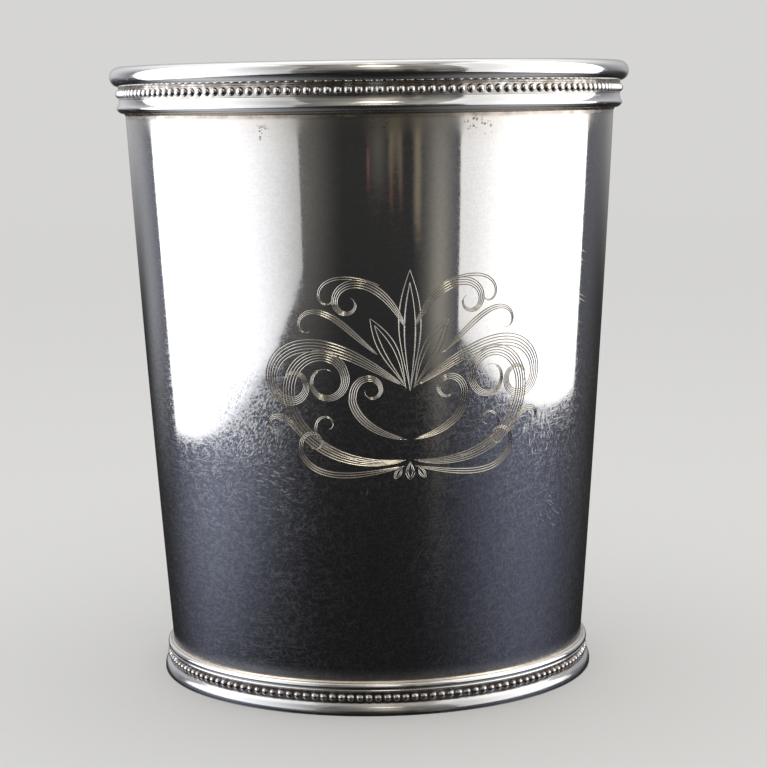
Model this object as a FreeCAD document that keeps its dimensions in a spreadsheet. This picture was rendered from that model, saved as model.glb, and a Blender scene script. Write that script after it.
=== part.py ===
import FreeCAD, Part
import math
import os
import Sketcher

# A silver julep cup: a tapered beaker with a beaded rim and a beaded foot.
# Millimetres, +Z up, origin in the middle of the base, on the surface that the cup stands on.
# Every piece but the flat bottom is a ring round the Z axis, drawn as its section in the XZ plane.

# Driving dimensions: name, value, what it measures.
# A reach is measured outward from the wall's outer face, level, at the height of the point itself.
# A share has no unit.
SIZES = [
    ("cup_height", 95.25, "base to the top of the lip"),
    ("wall_radius_rim", 38.49, "outer radius of the wall, carried up to the cup's full height"),
    ("wall_radius_foot", 32.4, "outer radius of the wall, carried down to the base"),
    ("wall_bow", 0.3, "how far the side bows outward halfway up"),
    ("wall_thickness", 0.6, "thickness of the wall, measured level"),
    ("wall_lift", 0.25, "lower edge of the wall above the base"),
    ("solder_film", 0.04, "film of solder between the wall and each piece that it carries"),
    ("wall_edge_drop", 0.35, "fall of the wall's rounded top edge, outer face to inner face"),
    ("lip_round", 1.54, "radius of the half-round lip"),
    ("lip_reach", 2.05, "how far the lip stands out"),
    ("lip_undercut_share", 0.98, "how far below its own centre the lip goes, as a share of its radius"),
    ("lip_crown_drop", 0.06, "fall of the lip's crown towards the wall"),
    ("rim_reed_height", 0.26, "height of the fine wire under the lip"),
    ("rim_reed_reach", 0.77, "reach of that wire's flanks"),
    ("rim_bead_radius", 0.7, "radius of a rim bead"),
    ("rim_bead_gap", 0.05, "least gap between neighbouring rim beads"),
    ("rim_bead_proud", 0.46, "how far a rim bead stands out of its strip"),
    ("rim_strip_reach", 0.84, "reach of the strip that carries the rim beads, at their centres"),
    ("rim_strip_above", 0.11, "bare strip above the rim beads"),
    ("rim_strip_below", 0.18, "bare strip below the rim beads"),
    ("cove_height", 1.26, "height of the hollow face under the rim beads"),
    ("cove_reach_top", 0.84, "reach of the hollow face at its top"),
    ("cove_round_share", 1.6, "radius of the hollow face, as a share of its chord"),
    ("ledge_reach", 1.28, "reach of the small ledge under the hollow face"),
    ("ledge_height", 0.2, "height of the ledge's upright edge"),
    ("ledge_under_height", 0.72, "height of the rounded underside of the ledge"),
    ("ledge_under_reach", 0.24, "reach of the underside at its lower end"),
    ("ledge_round_share", 0.9, "radius of the underside, as a share of its chord"),
    ("rim_fillet_height", 0.35, "height of the solder line under the rim mouldings"),
    ("ring_height", 1.75, "height of the base ring"),
    ("ring_foot_reach", 1.72, "reach of the base ring where it stands"),
    ("ring_round_share", 1.2, "radius of the base ring's side, as a share of its chord"),
    ("ring_side_reach", 1.38, "reach of the base ring where its side meets its shoulder"),
    ("ring_shoulder_height", 0.4, "height of the base ring's sloping shoulder"),
    ("ring_shoulder_reach", 0.95, "reach of the shoulder at its top"),
    ("foot_bead_radius", 0.64, "radius of a foot bead"),
    ("foot_bead_gap", 0.067, "least gap between neighbouring foot beads"),
    ("foot_bead_proud", 0.4, "how far a foot bead stands out of its strip"),
    ("foot_strip_reach", 0.72, "reach of the strip that carries the foot beads, at their centres"),
    ("foot_strip_above", 0.18, "bare strip above the foot beads"),
    ("foot_strip_below", 0.17, "bare strip below the foot beads"),
    ("foot_reed_height", 0.42, "height of the fine wire above the foot beads"),
    ("foot_reed_reach", 0.78, "reach of that wire's flanks"),
    ("ovolo_height", 0.92, "height of the quarter-round moulding of the foot"),
    ("ovolo_reach_low", 0.82, "reach of the quarter round at its lower edge"),
    ("ovolo_reach_top", 0.34, "reach of the quarter round at its top edge"),
    ("ovolo_round_share", 0.54, "radius of the quarter round, as a share of its chord"),
    ("foot_fillet_height", 0.22, "height of the solder line above the foot mouldings"),
    ("reed_round_share", 0.55, "radius of a fine wire's face, as a share of its height"),
    ("bottom_height", 2.5, "underside of the bottom disc above the base"),
    ("bottom_thickness", 0.7, "thickness of the bottom disc"),
    ("bottom_fillet_size", 0.5, "height and width of the solder under the bottom disc"),
]

# Which way a curved edge turns as the section is followed with its metal on the left.
LEFT = 1
RIGHT = -1

doc = FreeCAD.newDocument("julep_cup")
sheet = doc.addObject("Spreadsheet::Sheet", "Sizes")
for row, (alias, value, meaning) in enumerate(SIZES, start=1):
    sheet.set(f"A{row}", alias)
    sheet.set(f"B{row}", str(value))
    sheet.set(f"C{row}", meaning)
    sheet.setAlias(f"B{row}", alias)
doc.recompute()


# Sizes that carry their expression

class Size:
    """A number worked out from the sheet, with the expression that keeps it bound to the sheet."""

    def __init__(self, number, text):
        self.number = number
        self.text = text

    def __add__(self, other):
        return Size(self.number + other.number, f"({self.text} + {other.text})")

    def __sub__(self, other):
        return Size(self.number - other.number, f"({self.text} - {other.text})")

    def __mul__(self, other):
        other = as_size(other)
        return Size(self.number * other.number, f"({self.text} * {other.text})")

    def __truediv__(self, other):
        other = as_size(other)
        return Size(self.number / other.number, f"({self.text} / {other.text})")


def as_size(value):
    """A plain number, such as a count or a share, as a Size."""
    if isinstance(value, Size):
        return value
    return Size(value, repr(value))


def size(alias):
    """The sheet's cell with that alias."""
    return Size(sheet.get(alias), f"Sizes.{alias}")


def root(value):
    """Square root."""
    return Size(math.sqrt(value.number), f"sqrt({value.text})")


def whole(value):
    """The whole number at or below a value."""
    return Size(math.floor(value.number), f"floor({value.text})")


def distance(run, rise):
    """Length of the slope that a level run and an upright rise make."""
    return root(run * run + rise * rise)


def tangent_round(run, rise):
    """Radius of an arc that starts level and falls by rise over a run."""
    return (run * run + rise * rise) / (rise * 2)


# Heights, from the base up to the foot's solder line and from the lip down to the rim's

ZERO = Size(0.0, "0")
ONE = as_size(1)
FULL_TURN = Size(2 * math.pi, "(2 * pi)")

CUP_TOP = size("cup_height")
RING_TOP = size("ring_height")
FOOT_BEAD_CENTRE = RING_TOP + size("foot_strip_below") + size("foot_bead_radius")
FOOT_STRIP_TOP = FOOT_BEAD_CENTRE + size("foot_bead_radius") + size("foot_strip_above")
FOOT_REED_TOP = FOOT_STRIP_TOP + size("foot_reed_height")
OVOLO_TOP = FOOT_REED_TOP + size("ovolo_height")
FOOT_FILLET_TOP = OVOLO_TOP + size("foot_fillet_height")

LIP_CENTRE = CUP_TOP - size("lip_round")
LIP_BASE = LIP_CENTRE - size("lip_round") * size("lip_undercut_share")
RIM_REED_BASE = LIP_BASE - size("rim_reed_height")
RIM_BEAD_CENTRE = RIM_REED_BASE - size("rim_strip_above") - size("rim_bead_radius")
RIM_STRIP_BASE = RIM_BEAD_CENTRE - size("rim_bead_radius") - size("rim_strip_below")
LEDGE_TOP = RIM_STRIP_BASE - size("cove_height")
LEDGE_UNDER_TOP = LEDGE_TOP - size("ledge_height")
LEDGE_BASE = LEDGE_UNDER_TOP - size("ledge_under_height")
RIM_FILLET_BASE = LEDGE_BASE - size("rim_fillet_height")

WALL_BASE = size("wall_lift")
WALL_TOP = CUP_TOP - size("lip_crown_drop")
BOTTOM_UNDER = size("bottom_height")
BOTTOM_TOP = BOTTOM_UNDER + size("bottom_thickness")


def outside(height):
    """Radius of the wall's outer face at a height: an even taper, bowed a little outward."""
    share = height / CUP_TOP
    taper = (size("wall_radius_rim") - size("wall_radius_foot")) * share
    bow = size("wall_bow") * share * (ONE - share) * 4
    return size("wall_radius_foot") + taper + bow


def inside(height):
    """Radius of the wall's inner face at a height."""
    return outside(height) - size("wall_thickness")


def seat(height):
    """Radius of the back of a piece that is soldered round the outside of the wall."""
    return outside(height) + size("solder_film")


def inner_seat(height):
    """Radius of the edge of a piece that is soldered inside the wall."""
    return inside(height) - size("solder_film")


def reach(alias, height):
    """Radius of a point that stands out from the wall's outer face by a size on the sheet."""
    return outside(height) + size(alias)


# Sections: a list of corners, each with the edge that leaves it

def corner(radius, height, round_radius=None, turn=LEFT):
    """A corner of a section; the edge to the next corner is straight unless it has a radius."""
    return radius, height, round_radius, turn


def arc_between(start, end, radius, turn):
    """The arc of under half a circle from start to end."""
    half = (end - start) * 0.5
    side = FreeCAD.Vector(-half.y, half.x, 0).normalize() * turn
    centre = start + half + side * math.sqrt(radius ** 2 - half.Length ** 2)
    first, last = (start, end) if turn == LEFT else (end, start)
    first_angle = math.atan2(first.y - centre.y, first.x - centre.x)
    last_angle = math.atan2(last.y - centre.y, last.x - centre.x)
    if last_angle < first_angle:
        last_angle += 2 * math.pi
    circle = Part.Circle(centre, FreeCAD.Vector(0, 0, 1), radius)
    return Part.ArcOfCircle(circle, first_angle, last_angle)


def bind(sketch, name, kind, place, value):
    """Add one dimension to a sketch and bind it to its expression."""
    index = sketch.addConstraint(Sketcher.Constraint(kind, *place, value.number))
    sketch.renameConstraint(index, name)
    sketch.setExpression(f"Constraints.{name}", value.text)


def draw_section(sketch, corners):
    """Draw a closed section with each corner's radius and height, and each arc's radius, bound."""
    points = [FreeCAD.Vector(radius.number, height.number, 0) for radius, height, _, _ in corners]
    ends = []
    for index, (_, _, round_radius, turn) in enumerate(corners):
        start = points[index]
        end = points[(index + 1) % len(points)]
        if round_radius is None:
            sketch.addGeometry(Part.LineSegment(start, end), False)
            ends.append((1, 2))
        else:
            sketch.addGeometry(arc_between(start, end, round_radius.number, turn), False)
            ends.append((1, 2) if turn == LEFT else (2, 1))
    for index in range(len(corners)):
        following = (index + 1) % len(corners)
        link = (index, ends[index][1], following, ends[following][0])
        sketch.addConstraint(Sketcher.Constraint("Coincident", *link))
    for index, (radius, height, round_radius, _) in enumerate(corners):
        here = (index, ends[index][0])
        if radius is ZERO:
            sketch.addConstraint(Sketcher.Constraint("PointOnObject", *here, -2))
        else:
            bind(sketch, f"radius_{index}", "DistanceX", (-1, 1, *here), radius)
        if height is ZERO:
            sketch.addConstraint(Sketcher.Constraint("PointOnObject", *here, -1))
        else:
            bind(sketch, f"height_{index}", "DistanceY", (-1, 1, *here), height)
        if round_radius is not None:
            bind(sketch, f"round_{index}", "Radius", (index,), round_radius)


def origin_feature(body, role):
    """The body's own origin plane or axis with that role."""
    return next(item for item in body.Origin.OriginFeatures if item.Role == role)


def new_body(node):
    """An empty body whose label names its file, placed on the cup's own origin."""
    body = doc.addObject("PartDesign::Body", node)
    body.Label = node
    body.Placement = FreeCAD.Placement()
    return body


def new_sketch(body, name, corners):
    """A sketch of a section in the body's XZ plane."""
    sketch = body.newObject("Sketcher::SketchObject", name)
    sketch.AttachmentSupport = [(origin_feature(body, "XZ_Plane"), "")]
    sketch.MapMode = "FlatFace"
    draw_section(sketch, corners)
    return sketch


def turned(node, corners):
    """A body made by turning a section right round the cup's axis."""
    body = new_body(node)
    sketch = new_sketch(body, node + "_section", corners)
    turn = body.newObject("PartDesign::Revolution", node + "_turned")
    turn.Profile = sketch
    turn.ReferenceAxis = (sketch, ["V_Axis"])
    turn.Angle = 360
    doc.recompute()
    return body


def beaded(node, strip_corners, bead_height, bead_radius, bead_tip, bead_gap):
    """A strip turned round the cup's axis, with a row of half-ball beads raised on it."""
    body = turned(node, strip_corners)
    centre = bead_tip - bead_radius
    half_ball = [
        corner(bead_tip, bead_height, bead_radius),
        corner(centre, bead_height + bead_radius),
        corner(centre, bead_height),
    ]
    sketch = new_sketch(body, node + "_bead_section", half_ball)
    bead = body.newObject("PartDesign::Revolution", node + "_bead")
    bead.Profile = sketch
    bead.ReferenceAxis = (sketch, ["Edge3"])
    bead.Angle = 360
    doc.recompute()
    row = body.newObject("PartDesign::PolarPattern", node + "_row")
    row.Originals = [bead]
    row.Axis = (origin_feature(body, "Z_Axis"), [""])
    row.Angle = 360
    count = whole(centre * FULL_TURN / (bead_radius * 2 + bead_gap))
    row.Occurrences = int(count.number)
    row.setExpression("Occurrences", count.text)
    body.Tip = row
    doc.recompute()
    return body


# Beaker

def cup_wall():
    """The tapered, slightly bowed side, with a rounded top edge."""
    slope = (size("wall_radius_rim") - size("wall_radius_foot")) / CUP_TOP
    slant = root(ONE + slope * slope)
    bow_radius = CUP_TOP * CUP_TOP / (size("wall_bow") * 8) * slant * slant * slant
    edge_round = tangent_round(size("wall_thickness"), size("wall_edge_drop"))
    inner_top = WALL_TOP - size("wall_edge_drop")
    return turned("cup_wall", [
        corner(outside(WALL_BASE), WALL_BASE, bow_radius),
        corner(outside(WALL_TOP), WALL_TOP, edge_round),
        corner(outside(WALL_TOP) - size("wall_thickness"), inner_top, bow_radius, RIGHT),
        corner(inside(WALL_BASE), WALL_BASE),
    ])


def bottom_disc():
    """The flat bottom, let into the lower end of the wall."""
    return turned("bottom_disc", [
        corner(ZERO, BOTTOM_UNDER),
        corner(inner_seat(BOTTOM_UNDER), BOTTOM_UNDER),
        corner(inner_seat(BOTTOM_TOP), BOTTOM_TOP),
        corner(ZERO, BOTTOM_TOP),
    ])


def bottom_solder_fillet():
    """Solder in the corner between the wall and the underside of the bottom disc."""
    low = BOTTOM_UNDER - size("bottom_fillet_size")
    return turned("bottom_solder_fillet", [
        corner(inner_seat(low), low),
        corner(inner_seat(BOTTOM_UNDER), BOTTOM_UNDER),
        corner(inner_seat(BOTTOM_UNDER) - size("bottom_fillet_size"), BOTTOM_UNDER),
    ])


# Rim, from the top down

def rim_lip_wire():
    """The heavy half-round wire round the mouth, filed flush with the wall's top edge."""
    radius = size("lip_round")
    centre = reach("lip_reach", LIP_CENTRE) - radius
    share = size("lip_undercut_share")
    under = centre + radius * root(ONE - share * share)
    crown_round = tangent_round(centre - outside(WALL_TOP), size("lip_crown_drop"))
    return turned("rim_lip_wire", [
        corner(seat(LIP_BASE), LIP_BASE),
        corner(under, LIP_BASE, radius),
        corner(centre, CUP_TOP, crown_round),
        corner(seat(WALL_TOP), WALL_TOP),
    ])


def reed(node, low, high, reach_alias):
    """A fine wire with a rounded face, on the wall between two heights."""
    face_round = (high - low) * size("reed_round_share")
    return turned(node, [
        corner(seat(low), low),
        corner(reach(reach_alias, low), low, face_round),
        corner(reach(reach_alias, high), high),
        corner(seat(high), high),
    ])


def strip(low, high, face):
    """Section of a strip with its back on the wall and its face upright."""
    return [
        corner(seat(low), low),
        corner(face, low),
        corner(face, high),
        corner(seat(high), high),
    ]


def rim_reed_wire():
    """The fine wire close under the lip."""
    return reed("rim_reed_wire", RIM_REED_BASE, LIP_BASE, "rim_reed_reach")


def rim_bead_wire():
    """The strip of the rim with its row of beads."""
    face = reach("rim_strip_reach", RIM_BEAD_CENTRE)
    section = strip(RIM_STRIP_BASE, RIM_REED_BASE, face)
    return beaded("rim_bead_wire", section, RIM_BEAD_CENTRE, size("rim_bead_radius"),
                  face + size("rim_bead_proud"), size("rim_bead_gap"))


def rim_cove_moulding():
    """The hollow-faced moulding under the beads, ending in a small ledge with a rounded underside."""
    under_start = reach("ledge_under_reach", LEDGE_BASE)
    under_end = reach("ledge_reach", LEDGE_UNDER_TOP)
    ledge = reach("ledge_reach", LEDGE_TOP)
    cove_top = reach("cove_reach_top", RIM_STRIP_BASE)
    under_chord = distance(under_end - under_start, size("ledge_under_height"))
    cove_chord = distance(ledge - cove_top, size("cove_height"))
    return turned("rim_cove_moulding", [
        corner(seat(LEDGE_BASE), LEDGE_BASE),
        corner(under_start, LEDGE_BASE, under_chord * size("ledge_round_share")),
        corner(under_end, LEDGE_UNDER_TOP),
        corner(ledge, LEDGE_TOP, cove_chord * size("cove_round_share"), RIGHT),
        corner(cove_top, RIM_STRIP_BASE),
        corner(seat(RIM_STRIP_BASE), RIM_STRIP_BASE),
    ])


def rim_solder_fillet():
    """The line of solder where the rim mouldings end on the wall."""
    return turned("rim_solder_fillet", [
        corner(seat(RIM_FILLET_BASE), RIM_FILLET_BASE),
        corner(reach("ledge_under_reach", LEDGE_BASE), LEDGE_BASE),
        corner(seat(LEDGE_BASE), LEDGE_BASE),
    ])


# Foot, from the base up

def foot_base_ring():
    """The ring that the cup stands on: a spreading, rounded side with a sloping shoulder above it."""
    shoulder_base = RING_TOP - size("ring_shoulder_height")
    base = reach("ring_foot_reach", ZERO)
    side_top = reach("ring_side_reach", shoulder_base)
    side_chord = distance(base - side_top, shoulder_base)
    return turned("foot_base_ring", [
        corner(seat(ZERO), ZERO),
        corner(base, ZERO, side_chord * size("ring_round_share")),
        corner(side_top, shoulder_base),
        corner(reach("ring_shoulder_reach", RING_TOP), RING_TOP),
        corner(seat(RING_TOP), RING_TOP),
    ])


def foot_bead_wire():
    """The strip of the foot with its row of beads."""
    face = reach("foot_strip_reach", FOOT_BEAD_CENTRE)
    section = strip(RING_TOP, FOOT_STRIP_TOP, face)
    return beaded("foot_bead_wire", section, FOOT_BEAD_CENTRE, size("foot_bead_radius"),
                  face + size("foot_bead_proud"), size("foot_bead_gap"))


def foot_reed_wire():
    """The fine wire above the foot's beads."""
    return reed("foot_reed_wire", FOOT_STRIP_TOP, FOOT_REED_TOP, "foot_reed_reach")


def foot_ovolo_moulding():
    """The quarter-round moulding at the top of the foot."""
    low = reach("ovolo_reach_low", FOOT_REED_TOP)
    top = reach("ovolo_reach_top", OVOLO_TOP)
    chord = distance(low - top, size("ovolo_height"))
    return turned("foot_ovolo_moulding", [
        corner(seat(FOOT_REED_TOP), FOOT_REED_TOP),
        corner(low, FOOT_REED_TOP, chord * size("ovolo_round_share")),
        corner(top, OVOLO_TOP),
        corner(seat(OVOLO_TOP), OVOLO_TOP),
    ])


def foot_solder_fillet():
    """The line of solder above the foot mouldings."""
    return turned("foot_solder_fillet", [
        corner(seat(OVOLO_TOP), OVOLO_TOP),
        corner(reach("ovolo_reach_top", OVOLO_TOP), OVOLO_TOP),
        corner(seat(FOOT_FILLET_TOP), FOOT_FILLET_TOP),
    ])


PIECES = [
    cup_wall(),
    bottom_disc(),
    bottom_solder_fillet(),
    rim_lip_wire(),
    rim_reed_wire(),
    rim_bead_wire(),
    rim_cove_moulding(),
    rim_solder_fillet(),
    foot_base_ring(),
    foot_bead_wire(),
    foot_reed_wire(),
    foot_ovolo_moulding(),
    foot_solder_fillet(),
]

# Check every object and every piece before anything is written

for item in doc.Objects:
    if "Invalid" in item.State or "Error" in item.State:
        raise RuntimeError(f"{item.Label} failed: {item.State}")
for piece in PIECES:
    if piece.Shape.isNull() or not piece.Shape.isValid():
        raise RuntimeError(f"{piece.Label} has no valid shape")
    if len(piece.Shape.Solids) != 1:
        raise RuntimeError(f"{piece.Label} is not one solid")

os.makedirs("parts", exist_ok=True)
for piece in PIECES:
    piece.Shape.exportStep(os.path.join("parts", piece.Label + ".step"))
    print(piece.Label, round(piece.Shape.Volume, 2))
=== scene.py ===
import cmath
import logging
import math
from dataclasses import dataclass, field
from enum import Enum
from functools import partial, reduce

import bpy
import numpy as np
from mathutils import Matrix, Vector, geometry


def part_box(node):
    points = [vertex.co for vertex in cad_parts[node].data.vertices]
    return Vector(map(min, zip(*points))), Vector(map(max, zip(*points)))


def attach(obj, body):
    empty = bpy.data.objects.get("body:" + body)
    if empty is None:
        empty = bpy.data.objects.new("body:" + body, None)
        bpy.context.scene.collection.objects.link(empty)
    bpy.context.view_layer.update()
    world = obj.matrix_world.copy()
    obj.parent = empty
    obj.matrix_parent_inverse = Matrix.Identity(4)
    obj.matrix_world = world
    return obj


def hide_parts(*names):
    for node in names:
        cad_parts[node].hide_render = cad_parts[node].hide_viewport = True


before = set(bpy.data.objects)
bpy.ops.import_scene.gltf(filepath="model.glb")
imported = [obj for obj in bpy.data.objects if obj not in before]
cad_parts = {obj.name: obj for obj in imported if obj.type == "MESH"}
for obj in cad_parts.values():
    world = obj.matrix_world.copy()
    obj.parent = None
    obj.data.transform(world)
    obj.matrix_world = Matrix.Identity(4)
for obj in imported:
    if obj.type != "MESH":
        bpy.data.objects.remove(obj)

# A silver julep cup with a beaded rim, a beaded foot and an engraved scroll ornament.
# Sizes are in millimetres and angles in degrees; meshes are made in metres, in the cup's own frame.

Material = bpy.types.Material
Socket = bpy.types.NodeSocket
Tree = bpy.types.NodeTree
Colour = tuple[float, float, float]

LOG = logging.getLogger("julep_cup")

MM = 0.001
BODY = "root"
TINY = 1e-6

# How finely a turned mesh, an arc and a softened corner are stepped, and how much of an edge a corner takes
COLUMNS = 384
ARC_STEP = 7.0
SOFT_STEPS = 4
SOFT_SHARE = 0.4

# How far corners are softened, and how near to the axis a point lies on it
CRISP = 0.01
FINE = 0.02
PLAIN = 0.03
EASED = 0.05
BROAD = 0.06
WORN = 0.12
AXIS_REACH = 0.05


class Turn(Enum):
    """Which way a curved edge of a section turns, with the metal on its left."""

    LEFT = 1
    RIGHT = -1


# Sections and turned meshes

@dataclass(frozen=True)
class Corner:
    """A corner of a section, and the edge that leaves it."""

    radius: float
    height: float
    bend: float = 0.0
    turn: Turn = Turn.LEFT
    soft: float = PLAIN
    steps: int = 1

    @property
    def point(self) -> complex:
        """The corner as a complex number, radius and height."""
        return complex(self.radius, self.height)


class Edge:
    """One edge of a section, straight or an arc."""

    def __init__(self, start: Corner, end: Corner) -> None:
        """Work out the edge between two corners.

        Args:
            start: The corner that the edge leaves; it holds the edge's bend and turn.
            end: The corner that the edge reaches.
        """
        self.start = start.point
        self.chord = end.point - start.point
        self.length = abs(self.chord)
        self.steps = start.steps
        self.sweep = 0.0
        if start.bend:
            half = self.length / 2
            side = 1j * self.chord / self.length * start.turn.value
            self.centre = self.start + self.chord / 2 + side * math.sqrt(start.bend ** 2 - half ** 2)
            self.sweep = 2 * math.asin(half / start.bend) * start.turn.value
            self.length = abs(self.sweep) * start.bend
            self.steps = max(self.steps, math.ceil(math.degrees(abs(self.sweep)) / ARC_STEP))

    def at(self, share: float) -> tuple[complex, complex]:
        """A point on the edge and the direction there.

        Args:
            share: How far along the edge, from 0 to 1.

        Returns:
            The point and the unit direction.
        """
        if not self.sweep:
            return self.start + self.chord * share, self.chord / self.length
        spoke = (self.start - self.centre) * cmath.exp(1j * self.sweep * share)
        return self.centre + spoke, 1j * spoke / abs(spoke) * math.copysign(1, self.sweep)


def section(corners: list[Corner]) -> tuple[np.ndarray, np.ndarray]:
    """Trace a closed section with its corners softened.

    Args:
        corners: The corners in order, with the metal on the left.

    Returns:
        The points and the unit directions, as complex numbers of radius and height.
    """
    following = corners[1:] + corners[:1]
    edges = [Edge(corner, after) for corner, after in zip(corners, following)]
    traced = []
    for index, (edge, corner, after) in enumerate(zip(edges, corners, following)):
        ahead = edges[(index + 1) % len(edges)]
        cut_in = min(corner.soft, SOFT_SHARE * edge.length, SOFT_SHARE * edges[index - 1].length)
        cut_out = min(after.soft, SOFT_SHARE * edge.length, SOFT_SHARE * ahead.length)
        last = 1 - cut_out / edge.length
        traced += [edge.at(share) for share in np.linspace(cut_in / edge.length, last, edge.steps + 1)]
        start, end = edge.at(last)[0], ahead.at(cut_out / ahead.length)[0]
        for share in np.arange(1, SOFT_STEPS) / SOFT_STEPS:
            way = (after.point - start) * (1 - share) + (end - after.point) * share
            bezier = start * (1 - share) ** 2 + after.point * 2 * share * (1 - share) + end * share ** 2
            traced.append((bezier, way / abs(way)))
    points, ways = np.array(traced).T
    return points, ways


def around(columns: int) -> np.ndarray:
    """The angles of evenly spaced columns, in radians, from the front towards +X."""
    return np.arange(columns) * (2 * math.pi / columns)


def on_circle(radius: np.ndarray, height: np.ndarray, angle: np.ndarray) -> np.ndarray:
    """Places round the cup's axis, as rows of (x, y, z), by angles in radians from the front towards +X."""
    radius, height, angle = np.broadcast_arrays(radius, height, angle)
    return np.stack([radius * np.sin(angle), -radius * np.cos(angle), height], axis=-1)


def webbed(rings: list) -> list[tuple[int, ...]]:
    """Faces between each ring of points and the next.

    Args:
        rings: Each ring's points by number, in order; a point on the axis is a ring of one repeated number.

    Returns:
        The faces, with three corners where they meet the axis.
    """
    faces = []
    for low, high in zip(rings, rings[1:]):
        if low[0] == low[1] and high[0] == high[1]:
            continue
        for column in range(len(low)):
            after = (column + 1) % len(low)
            faces.append(tuple(dict.fromkeys((low[column], low[after], high[after], high[column]))))
    return faces


def linked(name: str, data: bpy.types.ID) -> bpy.types.Object:
    """A new object of the scene.

    Args:
        name: The object's name.
        data: Its mesh, light or camera.

    Returns:
        The object.
    """
    thing = bpy.data.objects.new(name, data)
    bpy.context.scene.collection.objects.link(thing)
    return thing


@dataclass
class Skin:
    """A mesh in the making: places in millimetres, the normal at each place, and faces."""

    places: np.ndarray
    normals: np.ndarray
    faces: list[tuple[int, ...]]
    slots: list[int] = field(default_factory=list)
    flat: list[int] = field(default_factory=list)

    def joined(self, other: "Skin") -> "Skin":
        """This skin and another in one.

        Args:
            other: The other skin, whose faces get the second material slot.

        Returns:
            The joined skin.
        """
        moved = [tuple(index + len(self.places) for index in face) for face in other.faces]
        return Skin(np.vstack([self.places, other.places]), np.vstack([self.normals, other.normals]),
                    self.faces + moved, [0] * len(self.faces) + [1] * len(moved))

    def make(self, name: str, materials: list[Material]) -> bpy.types.Object:
        """Make the object, smooth with the exact normals, flat where a face is marked flat.

        Args:
            name: The object's name.
            materials: The materials of its slots, in order.

        Returns:
            The new object.
        """
        mesh = bpy.data.meshes.new(name)
        mesh.from_pydata((self.places * MM).tolist(), [], self.faces)
        for material in materials:
            mesh.materials.append(material)
        if self.slots:
            mesh.polygons.foreach_set("material_index", self.slots)
        mesh.shade_smooth()
        normals = self.normals[[index for face in self.faces for index in face]]
        for index in self.flat:
            face = mesh.polygons[index]
            normals[face.loop_start:face.loop_start + face.loop_total] = face.normal
        mesh.normals_split_custom_set(normals.tolist())
        return linked(name, mesh)


def turned(corners: list[Corner]) -> Skin:
    """Turn a closed section round the cup's axis.

    Args:
        corners: The section's corners; those at radius zero lie on the axis.

    Returns:
        The skin of the turned piece.
    """
    points, ways = section(corners)
    on_axis = points.real < AXIS_REACH
    angle = around(COLUMNS)
    places, normals, rings = [], [], []
    for index, (point, way) in enumerate(zip(points, ways)):
        start = len(places)
        if not on_axis[index]:
            places.extend(on_circle(point.real, point.imag, angle))
            normals.extend(on_circle(way.imag, -way.real, angle))
            rings.append(range(start, start + COLUMNS))
        elif not on_axis[index - 1]:
            places.append([0.0, 0.0, point.imag])
            normals.append([0.0, 0.0, -math.copysign(1, way.real)])
            rings.append([start] * COLUMNS)
    return Skin(np.array(places), np.array(normals), webbed(rings + rings[:1]))


def span(node: str) -> tuple[float, float]:
    """The lowest and highest point of a CAD node, in millimetres."""
    low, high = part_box(node)
    return low.z / MM, high.z / MM


def round_of(run: float, rise: float) -> float:
    """Radius of an arc that starts level and falls by a rise over a run."""
    return (run ** 2 + rise ** 2) / (2 * rise)


# The beaker's outer face, which every moulding stands on

@dataclass(frozen=True)
class Taper:
    """The beaker's outer face: an even taper, bowed a little outward."""

    height: float
    rim_radius: float = 38.49
    foot_radius: float = 32.4
    bow: float = 0.3

    @property
    def spread(self) -> float:
        """How much wider the face is at the rim than at the foot."""
        return self.rim_radius - self.foot_radius

    @property
    def bend(self) -> float:
        """Radius of the arc that the bowed side follows."""
        return self.height ** 2 / (8 * self.bow) * (1 + (self.spread / self.height) ** 2) ** 1.5

    def radius(self, height: np.ndarray) -> np.ndarray:
        """Radius of the outer face at a height."""
        share = height / self.height
        return self.foot_radius + self.spread * share + 4 * self.bow * share * (1 - share)

    def slope(self, height: np.ndarray) -> np.ndarray:
        """How much the radius grows for each millimetre of height."""
        return (self.spread + 4 * self.bow * (1 - 2 * height / self.height)) / self.height


# Engraving

@dataclass(frozen=True)
class Scroll:
    """A scroll that curls one way, cut as a bundle of fine lines that swells and closes again.

    Places are in millimetres from the middle of the ornament, right and up on the wall.
    The curl is the turning in radians for each millimetre, plus to the left.
    """

    right: float
    up: float
    heading: float
    length: float
    curl_start: float
    curl_end: float
    quickening: float
    lines: int
    spacing: float


@dataclass(frozen=True)
class Leaf:
    """A pointed leaf, cut as an outline with a second line inside it."""

    right: float
    up: float
    heading: float
    length: float
    width: float
    lean: float


@dataclass(frozen=True)
class Cut:
    """One engraved line: its points on the wall and half its width at each."""

    points: np.ndarray
    halves: np.ndarray


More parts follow.
